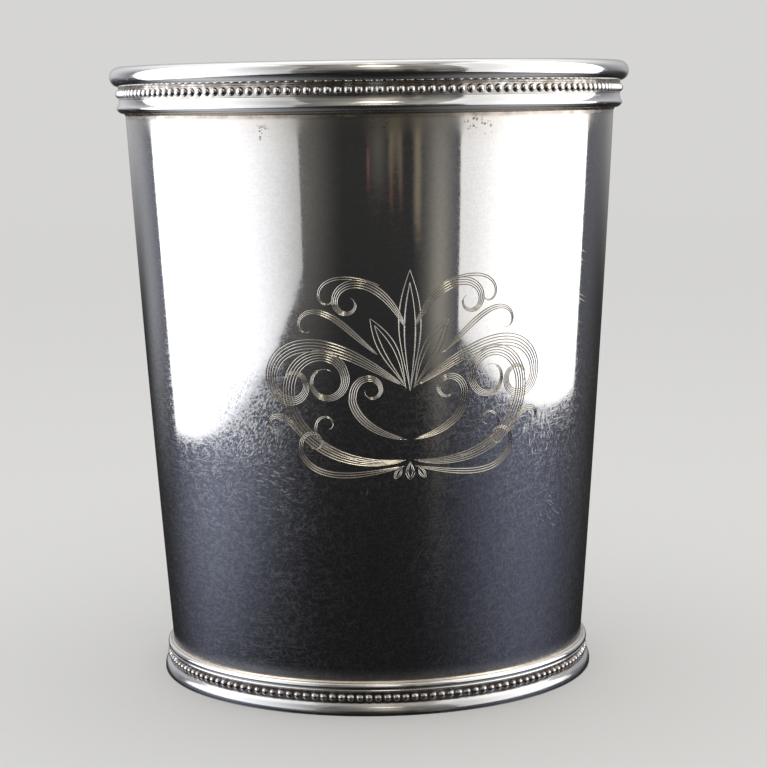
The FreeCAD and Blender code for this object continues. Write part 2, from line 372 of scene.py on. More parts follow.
@dataclass
class Engraving:
    """The symmetrical scroll ornament on the front, cut into the wall as V grooves."""

    middle_angle: float = 8.4
    middle_height: float = 50.6
    half_width: float = 21.6
    half_height: float = 16.0
    flat_radius: float = 36.0
    line_half: float = 0.1
    thin_share: float = 0.45
    depth_share: float = 0.62
    step: float = 0.33
    fewest_steps: int = 8
    merge: float = 0.05
    least_depth: float = 0.003
    cell: float = 1.0
    weld: float = 1e-5
    # How early a bundle of lines swells, and how full it is; the same of a leaf
    bundle_early: float = 0.8
    bundle_full: float = 0.9
    leaf_early: float = 1.25
    leaf_swell: float = 0.4
    leaf_ends: tuple[float, float] = (0.03, 0.97)
    inner_width: float = 0.5
    inner_length: float = 0.9
    scrolls: tuple[Scroll, ...] = (
        Scroll(0.5, -12.4, -10, 48.5, 0.047, 0.57, 2.2, 5, 0.44),
        Scroll(0.8, -1.6, 33, 39.0, -0.004, -0.70, 2.0, 5, 0.44),
        Scroll(0.7, -13.3, -12, 25.5, 0.012, 1.2, 3.2, 3, 0.36),
        Scroll(15.6, -9.6, 54, 9.6, -0.01, -1.55, 2.2, 3, 0.32),
        Scroll(0.5, -9.4, 10, 21.5, 0.06, 1.05, 2.2, 4, 0.34),
        Scroll(0.6, 6.8, 66, 20.5, -0.052, -1.0, 2.2, 4, 0.36),
        Scroll(4.6, 3.0, 40, 17.0, 0.012, -1.15, 3.2, 3, 0.34),
        Scroll(4.2, 13.0, 22, 14.0, -0.055, -1.5, 3.0, 2, 0.32),
        Scroll(7.6, -12.2, 10, 14.0, 0.055, 1.35, 2.4, 2, 0.32),
    )
    leaves: tuple[Leaf, ...] = (
        Leaf(0.0, -2.4, 90, 17.6, 3.2, 0.0),
        Leaf(0.5, -2.0, 69, 11.5, 2.5, -0.20),
        Leaf(0.0, -12.6, -90, 2.8, 1.3, 0.0),
        Leaf(1.2, -13.3, -60, 2.2, 0.9, 0.1),
    )

    def cuts(self) -> list[Cut]:
        """Every line of the ornament, both halves.

        Returns:
            The cuts, with places measured from the ornament's middle.
        """
        half = [cut for scroll in self.scrolls for cut in self.scroll_cuts(scroll)]
        half += [cut for leaf in self.leaves for cut in self.leaf_cuts(leaf)]
        return half + [Cut(cut.points * (-1, 1), cut.halves) for cut in half]

    def shares(self, length: float) -> np.ndarray:
        """Even shares along a line of some length, from 0 to 1."""
        return np.linspace(0, 1, max(self.fewest_steps, round(length / self.step)) + 1)

    def cut(self, points: np.ndarray, swell: np.ndarray) -> Cut:
        """A cut whose two ends run out to points.

        Args:
            points: The line's points.
            swell: How far the line widens at each, from 0 to 1.

        Returns:
            The cut.
        """
        halves = self.line_half * (self.thin_share + swell)
        halves[0] = halves[-1] = 0.0
        return Cut(points, halves)

    def scroll_cuts(self, scroll: Scroll) -> list[Cut]:
        """The lines of one scroll.

        Args:
            scroll: The scroll.

        Returns:
            One cut for each line of the bundle.
        """
        share = self.shares(scroll.length)
        step = scroll.length / (len(share) - 1)
        curl = scroll.curl_start + (scroll.curl_end - scroll.curl_start) * share ** scroll.quickening
        turning = np.concatenate([[0], np.cumsum((curl[1:] + curl[:-1]) / 2)]) * step
        angle = math.radians(scroll.heading) + turning
        way = np.stack([np.cos(angle), np.sin(angle)], axis=1)
        walked = np.vstack([[0, 0], np.cumsum((way[1:] + way[:-1]) / 2, axis=0)]) * step
        middle = np.array([scroll.right, scroll.up]) + walked
        across = np.stack([-way[:, 1], way[:, 0]], axis=1)
        swell = np.sin(math.pi * share ** self.bundle_early) ** self.bundle_full
        cuts = []
        for line in range(scroll.lines):
            aside = (line - (scroll.lines - 1) / 2) * scroll.spacing * swell
            keep = swell * scroll.spacing > self.merge
            if line == (scroll.lines - 1) // 2:
                keep[:] = True
            points = (middle + across * aside[:, None])[keep]
            cuts.append(self.cut(points, (1 - self.thin_share) * swell[keep]))
        return cuts

    def leaf_cuts(self, leaf: Leaf) -> list[Cut]:
        """The lines of one leaf.

        Args:
            leaf: The leaf.

        Returns:
            The two sides of its outline and of the line inside it.
        """
        share = self.shares(leaf.length)
        angle = math.radians(leaf.heading)
        along = np.array([math.cos(angle), math.sin(angle)])
        across = np.array([-along[1], along[0]])
        swell = self.leaf_swell * np.sin(math.pi * np.clip(share, *self.leaf_ends))
        cuts = []
        for width, length in ((1.0, 1.0), (self.inner_width, self.inner_length)):
            for side in (1, -1):
                aside = side * leaf.width / 2 * width * np.sin(math.pi * share ** self.leaf_early)
                aside += leaf.lean * leaf.length / 2 * (share * length) ** 2
                reach = share * leaf.length * length
                points = np.array([leaf.right, leaf.up]) + np.outer(reach, along) + np.outer(aside, across)
                cuts.append(self.cut(points, swell))
        return cuts

    def depth_at(self, places: np.ndarray, cuts: list[Cut]) -> np.ndarray:
        """How deep the metal is cut at each place.

        Args:
            places: Places on the wall, from the ornament's middle.
            cuts: The engraved lines.

        Returns:
            The depths in millimetres; zero where nothing is cut.
        """
        starts = np.vstack([cut.points[:-1] for cut in cuts])
        runs = np.vstack([np.diff(cut.points, axis=0) for cut in cuts])
        half_start = np.concatenate([cut.halves[:-1] for cut in cuts])
        half_gain = np.concatenate([np.diff(cut.halves) for cut in cuts])
        square = np.maximum((runs ** 2).sum(axis=1), TINY)
        middle = starts + runs / 2
        depth = np.zeros(len(places))
        cells = np.floor(places / self.cell).astype(int)
        for key in np.unique(cells, axis=0):
            here = np.flatnonzero((cells == key).all(axis=1))
            apart = np.abs(middle - (key + 0.5) * self.cell)
            near = np.flatnonzero((apart < self.cell + self.step).all(axis=1))
            if not len(near):
                continue
            gap = places[here][:, None] - starts[near][None]
            share = np.clip((gap * runs[near]).sum(axis=2) / square[near], 0, 1)
            away = np.linalg.norm(gap - runs[near] * share[..., None], axis=2)
            half = half_start[near] + half_gain[near] * share
            depth[here] = np.maximum((half - away).max(axis=1), 0) * self.depth_share
        return depth

    def flat_net(self, border: list, grid: list, cuts: list[Cut]) -> tuple:
        """Triangles that fill the border and follow the edges and the bottom of every groove.

        Args:
            border: The border's places in order, which stay where they are.
            grid: Further places that the triangles use.
            cuts: The engraved lines.

        Returns:
            The places, the triangles, and for each place the border's index that it is, or -1.
        """
        points = [*border, *grid]
        edges = [(index, (index + 1) % len(border)) for index in range(len(border))]
        for cut in cuts:
            way = np.gradient(cut.points, axis=0)
            way /= np.linalg.norm(way, axis=1, keepdims=True)
            across = np.stack([-way[:, 1], way[:, 0]], axis=1) * cut.halves[:, None]
            for side in (-1, 0, 1):
                start = len(points)
                points += [tuple(place) for place in cut.points + across * side]
                edges += [(index, index + 1) for index in range(start, len(points) - 1)]
        found = geometry.delaunay_2d_cdt([Vector(place) for place in points], edges, [], 0, self.weld)
        on_border = [min((item for item in source if item < len(border)), default=-1) for source in found[3]]
        return np.array([tuple(place) for place in found[0]]), found[2], np.array(on_border)


# The three sub-assemblies

@dataclass(frozen=True)
class BeadRow:
    """A row of small beads raised on a strip, and how the strip lies."""

    radius: float
    gap: float
    proud: float
    strip_reach: float
    strip_below: float
    sectors: int = 20
    bands: int = 8
    sunk_angle: float = 6.0

    def skin(self, face_radius: float, height: float) -> Skin:
        """The domes of the row.

        Args:
            face_radius: Radius of the strip's face.
            height: Height of the beads' centres.

        Returns:
            The domes, which reach a little into the strip.
        """
        centre = face_radius + self.proud - self.radius
        count = math.floor(centre * 2 * math.pi / (2 * self.radius + self.gap))
        reach = math.acos((self.radius - self.proud) / self.radius) + math.radians(self.sunk_angle)
        tilt = np.repeat(np.linspace(reach / self.bands, reach, self.bands), self.sectors)
        turn = np.tile(around(self.sectors), self.bands)
        ways = np.stack([np.cos(tilt), np.sin(tilt) * np.cos(turn), np.sin(tilt) * np.sin(turn)], axis=1)
        ways = np.vstack([[1, 0, 0], ways])
        rings = [range(start, start + self.sectors)
                 for start in range(len(ways) - self.sectors, 0, -self.sectors)]
        dome = webbed(rings + [[0] * self.sectors])
        up = np.array([0, 0, 1])
        places, normals, faces = [], [], []
        for number, angle in enumerate(around(count)):
            out = on_circle(1, 0, angle)
            normal = ways @ np.array([out, on_circle(1, 0, angle + math.pi / 2), up])
            places.append(out * centre + up * height + normal * self.radius)
            normals.append(normal)
            faces += [tuple(item + number * len(ways) for item in face) for face in dome]
        return Skin(np.vstack(places), np.vstack(normals), faces)


@dataclass
class Assembly:
    """What the sub-assemblies share: the wall's face, the cup's materials and the film of solder."""

    taper: Taper
    finishes: dict[str, Material]
    film: float = 0.04
    reed_round_share: float = 0.55

    def corner(self, height: float, reach: float, bend: float = 0.0, **form: object) -> Corner:
        """A corner that stands out from the wall's face by its reach."""
        return Corner(self.taper.radius(height) + reach, height, bend, **form)

    def seated(self, skin: Skin, name: str, node: str, slot: str, *finishes: str) -> None:
        """Make a piece that stands for a CAD node and rides on the cup.

        Args:
            skin: The piece's skin.
            name: The piece's name.
            node: The CAD node that it stands for.
            slot: The record's material slot; it is not used.
            finishes: The finishes of its material slots.
        """
        thing = skin.make(name, [self.finishes[finish] for finish in finishes])
        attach(thing, BODY)
        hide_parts(node)
        LOG.info("%s: %d faces, stands for %s", name, len(skin.faces), node)

    def reed(self, node: str, name: str, reach: float, finish: str) -> None:
        """Make a fine wire with a rounded face.

        Args:
            node: The CAD node that it stands for.
            name: The piece's name.
            reach: How far its flanks stand out.
            finish: Its finish.
        """
        low, high = span(node)
        self.seated(turned([
            self.corner(low, self.film),
            self.corner(low, reach, (high - low) * self.reed_round_share, soft=FINE),
            self.corner(high, reach, soft=FINE),
            self.corner(high, self.film),
        ]), name, node, "silver_moulding", finish)

    def bead_strip(self, node: str, name: str, beads: BeadRow) -> None:
        """Make a strip with an upright face and a row of beads on it.

        Args:
            node: The CAD node that it stands for.
            name: The piece's name.
            beads: The row of beads.
        """
        low, high = span(node)
        centre = low + beads.strip_below + beads.radius
        face = self.taper.radius(centre) + beads.strip_reach
        strip = turned([
            self.corner(low, self.film),
            Corner(face, low),
            Corner(face, high),
            self.corner(high, self.film),
        ])
        skin = strip.joined(beads.skin(face, centre))
        self.seated(skin, name, node, "silver_beads", "strip", "beads")


@dataclass
class Beaker(Assembly):
    """The tapered wall with its engraving, and the flat bottom let into it."""

    engraving: Engraving = field(default_factory=Engraving)
    thickness: float = 0.6
    edge_drop: float = 0.35
    rows: int = 48
    inner_rows: int = 20
    solder_round_share: float = 1.1

    def build(self) -> None:
        """Make every piece of the beaker."""
        self.wall()
        self.bottom()

    def wall(self) -> None:
        """The wall, with the ornament cut into its front."""
        low, high = span("cup_wall")
        inner_top = self.taper.radius(high) - self.thickness
        corners = [
            self.corner(low, 0.0, self.taper.bend, soft=BROAD, steps=self.rows),
            self.corner(high, 0.0, round_of(self.thickness, self.edge_drop), soft=CRISP),
            Corner(inner_top, high - self.edge_drop, self.taper.bend, Turn.RIGHT, EASED, self.inner_rows),
            self.corner(low, -self.thickness, soft=BROAD),
        ]
        skin = self.engraved(turned(corners), section(corners)[0].imag[:self.rows + 1])
        self.seated(skin, "beaker_wall", "cup_wall", "silver_wall", "wall", "groove")

    def engraved(self, skin: Skin, heights: np.ndarray) -> Skin:
        """Put the engraved patch in place of the faces in front.

        Args:
            skin: The plain wall, whose first rows are the outer face.
            heights: The heights of those rows.

        Returns:
            The wall with its engraving.
        """
        plan = self.engraving
        step = 2 * math.pi / COLUMNS
        middle = math.radians(plan.middle_angle)
        left = math.floor((middle - plan.half_width / plan.flat_radius) / step)
        right = math.ceil((middle + plan.half_width / plan.flat_radius) / step)
        low = int(np.searchsorted(heights, plan.middle_height - plan.half_height)) - 1
        high = int(np.searchsorted(heights, plan.middle_height + plan.half_height))

        def flat(row: int, column: int) -> tuple[float, float]:
            """Where a crossing of the wall's mesh lies, from the ornament's middle."""
            return (column * step - middle) * plan.flat_radius, heights[row] - plan.middle_height

        ring = [(low, column) for column in range(left, right)]
        ring += [(row, right) for row in range(low, high)]
        ring += [(high, column) for column in range(right, left, -1)]
        ring += [(row, left) for row in range(high, low, -1)]
        inside = ((row, column) for row in range(low + 1, high) for column in range(left + 2, right - 1, 2))
        cuts = plan.cuts()
        places, triangles, on_border = plan.flat_net([flat(*place) for place in ring],
                                                     [flat(*place) for place in inside], cuts)
        depth = plan.depth_at(places, cuts)
        depth[depth < plan.least_depth] = 0.0

        own = on_border < 0
        height = places[own, 1] + plan.middle_height
        angle = places[own, 0] / plan.flat_radius + middle
        slope = self.taper.slope(height)
        new_places = on_circle(self.taper.radius(height) - depth[own], height, angle)
        new_normals = on_circle(np.ones(len(slope)), -slope, angle) / np.hypot(1, slope)[:, None]
        number = np.cumsum(own) - 1 + len(skin.places)
        for index in np.flatnonzero(~own):
            row, column = ring[on_border[index]]
            number[index] = row * COLUMNS + column % COLUMNS

        taken = {(row, column % COLUMNS) for row in range(low, high) for column in range(left, right)}
        faces = [face for index, face in enumerate(skin.faces) if divmod(index, COLUMNS) not in taken]
        plain = len(faces)
        faces += [tuple(int(number[item]) for item in triangle) for triangle in triangles]
        grooved = plan.depth_at(places[np.array(triangles)].mean(axis=1), cuts) > plan.least_depth
        LOG.info("engraving: %d lines, %d triangles", len(cuts), len(triangles))
        return Skin(np.vstack([skin.places, new_places]), np.vstack([skin.normals, new_normals]), faces,
                    [0] * plain + grooved.astype(int).tolist(), (plain + np.flatnonzero(grooved)).tolist())

    def bottom(self) -> None:
        """The bottom disc and the solder under it."""
        inside = -self.thickness - self.film
        low, high = span("bottom_disc")
        self.seated(turned([
            Corner(0, low),
            self.corner(low, inside),
            self.corner(high, inside, soft=EASED),
            Corner(0, high),
        ]), "bottom_disc_plate", "bottom_disc", "silver_wall", "bottom")
        low, high = span("bottom_solder_fillet")
        size = high - low
        self.seated(turned([
            self.corner(low, inside),
            self.corner(high, inside),
            self.corner(high, inside - size, size * self.solder_round_share, turn=Turn.RIGHT),
        ]), "bottom_solder", "bottom_solder_fillet", "silver_solder", "solder")


@dataclass
class Rim(Assembly):
    """The mouldings round the mouth: lip, fine wire, bead row, hollow moulding and solder."""

    lip_round: float = 1.54
    lip_reach: float = 2.05
    lip_crown_drop: float = 0.06
    lip_crown_steps: int = 3
    reed_reach: float = 0.77
    beads: BeadRow = BeadRow(0.70, 0.05, 0.46, 0.84, 0.18)
    cove_reach: float = 0.84
    cove_round_share: float = 1.6
    ledge_reach: float = 1.28
    ledge_height: float = 0.2
    ledge_under_height: float = 0.72
    ledge_under_reach: float = 0.24
    ledge_round_share: float = 0.9
    solder_round: float = 0.8

    def build(self) -> None:
        """Make every piece of the rim."""
        self.lip()
        self.reed("rim_reed_wire", "rim_reed", self.reed_reach, "strip")
        self.bead_strip("rim_bead_wire", "rim_beads", self.beads)
        self.cove()
        self.solder()

    def lip(self) -> None:
        """The heavy half-round wire, flush with the wall's top edge."""
        low, high = span("rim_lip_wire")
        middle = high - self.lip_round
        centre = self.taper.radius(middle) + self.lip_reach - self.lip_round
        under = centre + math.sqrt(self.lip_round ** 2 - (middle - low) ** 2)
        wall_top = high - self.lip_crown_drop
        crown = round_of(centre - self.taper.radius(wall_top), self.lip_crown_drop)
        self.seated(turned([
            self.corner(low, self.film),
            Corner(under, low, self.lip_round, soft=FINE),
            Corner(centre, high, crown, soft=FINE, steps=self.lip_crown_steps),
            self.corner(wall_top, self.film, soft=FINE),
        ]), "lip", "rim_lip_wire", "silver_moulding", "moulding")

    def cove(self) -> None:
        """The hollow moulding, ending in a small ledge with a rounded underside."""
        low, high = span("rim_cove_moulding")
        under_top = low + self.ledge_under_height
        ledge_top = under_top + self.ledge_height
        under_start = self.corner(low, self.ledge_under_reach).point
        under_end = self.corner(under_top, self.ledge_reach, soft=BROAD)
        ledge = self.corner(ledge_top, self.ledge_reach).point
        top = self.corner(high, self.cove_reach, soft=BROAD)
        under_round = abs(under_end.point - under_start) * self.ledge_round_share
        cove_round = abs(ledge - top.point) * self.cove_round_share
        self.seated(turned([
            self.corner(low, self.film),
            self.corner(low, self.ledge_under_reach, under_round),
            under_end,
            self.corner(ledge_top, self.ledge_reach, cove_round, turn=Turn.RIGHT, soft=BROAD),
            top,
            self.corner(high, self.film),
        ]), "rim_cove", "rim_cove_moulding", "silver_moulding", "moulding")

    def solder(self) -> None:
        """The line of solder under the mouldings."""
        low, high = span("rim_solder_fillet")
        self.seated(turned([
            self.corner(low, self.film, self.solder_round, turn=Turn.RIGHT, soft=CRISP),
            self.corner(high, self.ledge_under_reach, soft=CRISP),
            self.corner(high, self.film, soft=CRISP),
        ]), "rim_solder", "rim_solder_fillet", "silver_solder", "solder")


@dataclass
class Foot(Assembly):
    """The mouldings of the foot: base ring, bead row, fine wire, quarter round and solder."""

    base_reach: float = 1.72
    side_reach: float = 1.38
    side_round_share: float = 1.2
    shoulder_height: float = 0.4
    shoulder_reach: float = 0.95
    beads: BeadRow = BeadRow(0.64, 0.067, 0.4, 0.72, 0.17)
    reed_reach: float = 0.78
    ovolo_reach_low: float = 0.82
    ovolo_reach_top: float = 0.34
    ovolo_round_share: float = 0.54

    def build(self) -> None:
        """Make every piece of the foot."""
        self.base_ring()
        self.bead_strip("foot_bead_wire", "foot_beads", self.beads)
        self.reed("foot_reed_wire", "foot_reed", self.reed_reach, "moulding")
        self.ovolo()
        self.solder()

    def base_ring(self) -> None:
        """The spreading ring that the cup stands on."""
        low, high = span("foot_base_ring")
        side_top = self.corner(high - self.shoulder_height, self.side_reach, soft=WORN)
        chord = abs(self.corner(low, self.base_reach).point - side_top.point)
        self.seated(turned([
            self.corner(low, self.film, soft=EASED),
            self.corner(low, self.base_reach, chord * self.side_round_share, soft=WORN),
            side_top,
            self.corner(high, self.shoulder_reach, soft=EASED),
            self.corner(high, self.film),
        ]), "foot_ring", "foot_base_ring", "silver_moulding", "ring")

    def ovolo(self) -> None:
        """The quarter round at the top of the foot."""
        low, high = span("foot_ovolo_moulding")
        top = self.corner(high, self.ovolo_reach_top, soft=FINE)
        chord = abs(self.corner(low, self.ovolo_reach_low).point - top.point)
        self.seated(turned([
            self.corner(low, self.film),
            self.corner(low, self.ovolo_reach_low, chord * self.ovolo_round_share),
            top,
            self.corner(high, self.film),
        ]), "foot_ovolo", "foot_ovolo_moulding", "silver_moulding", "moulding")

    def solder(self) -> None:
        """The warm line of solder above the foot."""
        low, high = span("foot_solder_fillet")
        self.seated(turned([
            self.corner(low, self.film, soft=CRISP),
            self.corner(low, self.ovolo_reach_top, soft=FINE),
            self.corner(high, self.film, soft=CRISP),
        ]), "foot_solder", "foot_solder_fillet", "silver_solder", "solder")


# Shader wiring

@dataclass
class Wiring:
    """Short ways to add and join shader nodes in one tree."""

    tree: Tree

    def node(self, kind: str, **given: object) -> bpy.types.Node:
        """Add a node.

        Args:
            kind: Blender's name of the node's type, without its first word.
            given: Its settings, in small letters, and values or links for its inputs, which start with
                a capital; an underscore stands for a space.

        Returns:
            The new node.
        """
        made = self.tree.nodes.new("ShaderNode" + kind)
        for name in [name for name in given if name.islower()]:
            setattr(made, name, given.pop(name))
        return self.fill(made, given)

    def fill(self, node: bpy.types.Node, inputs: dict[str, object]) -> bpy.types.Node:
        """Give a node's inputs values or links, by their names with underscores for spaces."""
        for name, value in inputs.items():
            self.put(value, node.inputs[name.replace("_", " ")])
        return node

    def put(self, value: object, socket: Socket) -> None:
        """Give a socket a link or a plain value.

        Args:
            value: The link or value.
            socket: The input that takes it.
        """
        if isinstance(value, Socket):
            self.tree.links.new(value, socket)
        elif isinstance(value, tuple) and socket.type == "RGBA":
            socket.default_value = (*value, 1)
        else:
            socket.default_value = value

    def step(self, kind: str, operation: str, *values: object) -> Socket:
        """One operation on values or links.

        Args:
            kind: Math or VectorMath.
            operation: The operation.
            values: The node's first inputs, in order.

        Returns:
            The result.
        """
        made = self.node(kind, operation=operation)
        for value, socket in zip(values, made.inputs):
            self.put(value, socket)
        return next(socket for socket in made.outputs if socket.enabled)

    def sum(self, operation: str, *values: object) -> Socket:
        """Arithmetic on one number or two."""
        return self.step("Math", operation, *values)

    def times(self, *values: object) -> Socket:
        """The product of some values."""
        return reduce(partial(self.sum, "MULTIPLY"), values)

    def plus(self, *values: object) -> Socket:
        """The total of some values."""
        return reduce(partial(self.sum, "ADD"), values)

    def most(self, *values: object) -> Socket:
        """The largest of some values."""
        return reduce(partial(self.sum, "MAXIMUM"), values)

    def ramp(self, value: object, start: object, end: object, low: float = 0.0, high: float = 1.0) -> Socket:
        """A smooth step from low, where the value is at the start, to high at the end."""
        return self.node("MapRange", interpolation_type="SMOOTHSTEP", Value=value, From_Min=start,
                         From_Max=end, To_Min=low, To_Max=high).outputs["Result"]

    def mix(self, share: object, first: object, second: object, blend: str = "MIX") -> Socket:
        """Blend two colours.

        Args:
            share: How much of the second colour.
            first: The first colour or link.
            second: The second colour or link.
            blend: The blend's kind.

        Returns:
            The blended colour.
        """
        made = self.node("Mix", data_type="RGBA", blend_type=blend, clamp_factor=False)
        for value, number in ((share, 0), (first, 6), (second, 7)):
            self.put(value, made.inputs[number])
        return made.outputs[2]


# Effects that the finishes share

class Effects:
    """Shader node groups, each built once and placed in every material that uses it."""

    line_detail = 1.5
    cloud_detail = 4.0
    speck_rarity = 3.0
    speck_core = 0.5

    def __init__(self, taper: Taper) -> None:
        """Start with no groups made.

        Args:
            taper: The wall's outer face, which recesses are measured from.
        """
        self.taper = taper
        self.made: dict[str, Tree] = {}

    def place(self, room: Wiring, effect: str, **values: object) -> Socket:
        """Place an effect in a material.

        Args:
            room: The material's shader.
            effect: The effect's name, which is also the name of the method that wires it.
            values: The effect's inputs.

        Returns:
            The effect's mask.
        """
        if effect not in self.made:
            self.made[effect] = self.build(effect, list(values))
        node = room.node("Group")
        node.node_tree = self.made[effect]
        return room.fill(node, values).outputs[0]

    def build(self, effect: str, inputs: list[str]) -> Tree:
        """Build an effect's group.

        Args:
            effect: The effect's name.
            inputs: The names of its inputs, all numbers but for Place.

        Returns:
            The group.
        """
        tree = bpy.data.node_groups.new(effect, "ShaderNodeTree")
        for name in inputs:
            kind = "NodeSocketVector" if name == "Place" else "NodeSocketFloat"
            tree.interface.new_socket(name=name, in_out="INPUT", socket_type=kind)
        tree.interface.new_socket(name="Mask", in_out="OUTPUT", socket_type="NodeSocketFloat")
        room = Wiring(tree)
        given = tree.nodes.new("NodeGroupInput").outputs
        mask = getattr(self, effect)(room, *given[:len(inputs)])
        room.put(mask, tree.nodes.new("NodeGroupOutput").inputs[0])
        return tree

    def millimetres(self, room: Wiring) -> Socket:
        """The shaded place in millimetres."""
        place = room.node("TexCoord").outputs["Object"]
        return room.node("VectorMath", operation="SCALE", Vector=place, Scale=1 / MM).outputs["Vector"]

    def noise(self, room: Wiring, place: Socket, scale: object, detail: float, seed: Socket) -> Socket:
        """Noise at a place, from 0 to 1, a different one for each seed."""
        return room.node("TexNoise", noise_dimensions="4D", Vector=place, Scale=scale, Detail=detail,
                         W=seed).outputs[0]

    def hairlines(self, room: Wiring, tilt: Socket, lean: Socket, across: Socket, along: Socket,
                  least: Socket, most: Socket, seed: Socket) -> Socket:
        """Fine polishing lines, level where neither tilted nor leant.

        Args:
            room: The group's wiring.
            tilt: Their turn about the Y axis.
            lean: Their turn about the X axis.
            across: How fine they are across.
            along: How fine they are along.
            least: The noise where they start.
            most: The noise where they are full.
            seed: Which noise it is.

        Returns:
            The mask.
        """
        place = self.millimetres(room)
        for axis, angle in (("Y_AXIS", tilt), ("X_AXIS", lean)):
            place = room.node("VectorRotate", rotation_type=axis, Vector=place,
                              Angle=room.sum("RADIANS", angle)).outputs["Vector"]
        scale = room.node("CombineXYZ", X=along, Y=along, Z=across).outputs["Vector"]
        drawn = room.step("VectorMath", "MULTIPLY", place, scale)
        return room.ramp(self.noise(room, drawn, 1.0, self.line_detail, seed), least, most)

    def blotches(self, room: Wiring, scale: Socket, least: Socket, most: Socket, seed: Socket) -> Socket:
        """Cloudy patches, from where the noise is least to where it is most."""
        noise = self.noise(room, self.millimetres(room), scale, self.cloud_detail, seed)
        return room.ramp(noise, least, most)

    def specks(self, room: Wiring, spacing: Socket, size: Socket) -> Socket:
        """Small round spots of different sizes, one to a cell.

        Args:
            room: The group's wiring.
            spacing: The size of a cell.
            size: The radius of the largest spot.

        Returns:
            The mask.
        """
        cells = room.node("TexVoronoi", Vector=self.millimetres(room), Scale=room.sum("DIVIDE", 1.0, spacing))
        random = room.node("SeparateColor", Color=cells.outputs["Color"]).outputs["Red"]
        reach = room.times(size, room.sum("POWER", random, self.speck_rarity))
        away = room.times(cells.outputs["Distance"], spacing)
        return room.ramp(away, reach, room.times(reach, self.speck_core))

    def patch(self, room: Wiring, place: Socket, radius: Socket) -> Socket:
        """A soft round patch about a place."""
        return room.ramp(room.step("VectorMath", "DISTANCE", self.millimetres(room), place), radius, 0.0)

    def recess(self, room: Wiring, clean: Socket, dark: Socket) -> Socket:
        """Where a moulding lies low over the wall's face, so that a cloth misses it.

        Args:
            room: The group's wiring.
            clean: How far the metal stands out where it is clean.
            dark: How far it stands out where it is dark.

        Returns:
            The mask.
        """
        split = room.node("SeparateXYZ", Vector=self.millimetres(room)).outputs
        across = room.sum("SQRT", room.plus(*(room.sum("POWER", split[name], 2.0) for name in "XY")))
        share = room.sum("DIVIDE", split["Z"], self.taper.height)
        bow = 4 * self.taper.bow
        bowed = room.sum("SUBTRACT", self.taper.spread + bow, room.times(share, bow))
        wall = room.plus(room.times(share, bowed), self.taper.foot_radius)
        return room.ramp(room.sum("SUBTRACT", across, wall), clean, dark)

    def band(self, room: Wiring, full: Socket, gone: Socket) -> Socket:
        """A level band, full at one height and gone at another."""
        height = room.node("SeparateXYZ", Vector=self.millimetres(room)).outputs["Z"]
        return room.ramp(height, gone, full)


# Finishes

@dataclass(frozen=True)
class Lines:
    """One family of polishing lines or scratches: its slant, its fineness and how much of it shows."""

    tilt: float
    lean: float
    across: float
    along: float
    least: float
    strength: float
    seed: float
    spread: float = 0.16


@dataclass(frozen=True)
class Blotches:
    """Cloudy patches: how fine they are, the noise where they start and are full, and which noise it is."""

    scale: float
    least: float
    most: float
    seed: float


@dataclass(frozen=True)
class Band:
    """A level band: the height where it is full and the height where it is gone."""

    full: float
    gone: float


@dataclass(frozen=True)
class Specks:
    """Small spots: how far apart they lie and the radius of the largest."""

    spacing: float
    size: float


@dataclass(frozen=True)
class Spot:
    """A round patch on the wall."""

    angle: float
    height: float
    radius: float


@dataclass(frozen=True)
class Scuff(Spot):
    """A worn patch on the wall, with lines of its own."""

    lines: Lines


@dataclass
class Coat:
    """The start of a silver's material, and the ways that every silver shares."""

    name: str
    effects: Effects

    def __post_init__(self) -> None:
        """Make the empty material."""
        self.material = bpy.data.materials.new(self.name)
        self.material.use_nodes = True
        self.room = Wiring(self.material.node_tree)
        self.shader = self.material.node_tree.nodes["Principled BSDF"]
        self.shader.inputs["Metallic"].default_value = 1.0

    def mask(self, form: Blotches | Band | Specks) -> Socket:
        """The mask of the effect that has the form's name, with the form's values."""
        values = {name.title(): value for name, value in vars(form).items()}
        return self.effects.place(self.room, type(form).__name__.lower(), **values)

    def lines(self, family: Lines) -> Socket:
        """The mask of one family of lines, by its strength."""
        mask = self.effects.place(self.room, "hairlines", Tilt=family.tilt, Lean=family.lean,
                                  Across=family.across, Along=family.along, Least=family.least,
                                  Most=family.least + family.spread, Seed=family.seed)
        return self.room.times(mask, family.strength)

    def near(self, spot: Spot) -> Socket:
        """The mask of a patch on the wall."""
        middle = on_circle(self.effects.taper.radius(spot.height), spot.height, math.radians(spot.angle))
        return self.effects.place(self.room, "patch", Place=tuple(middle.tolist()), Radius=spot.radius)

    def rough(self, wear: Socket, polish: float, worn: float) -> Socket:
        """The roughness between polished and worn."""
        return self.room.plus(polish, self.room.times(wear, worn - polish))

    def finish(self, colour: Socket, roughness: Socket, wave: Blotches, relief: float) -> Material:
        """Join colour, roughness and relief to the shader.

        Args:
            colour: The base colour.
            roughness: The roughness.
            wave: The waviness of the metal.
            relief: How deep it is.

        Returns:
            The finished material.
        """
        bump = self.room.node("Bump", Height=self.mask(wave), Distance=relief * MM)
        self.room.fill(self.shader, {"Base Color": colour, "Roughness": roughness,
                                     "Normal": bump.outputs["Normal"]})
        return self.material


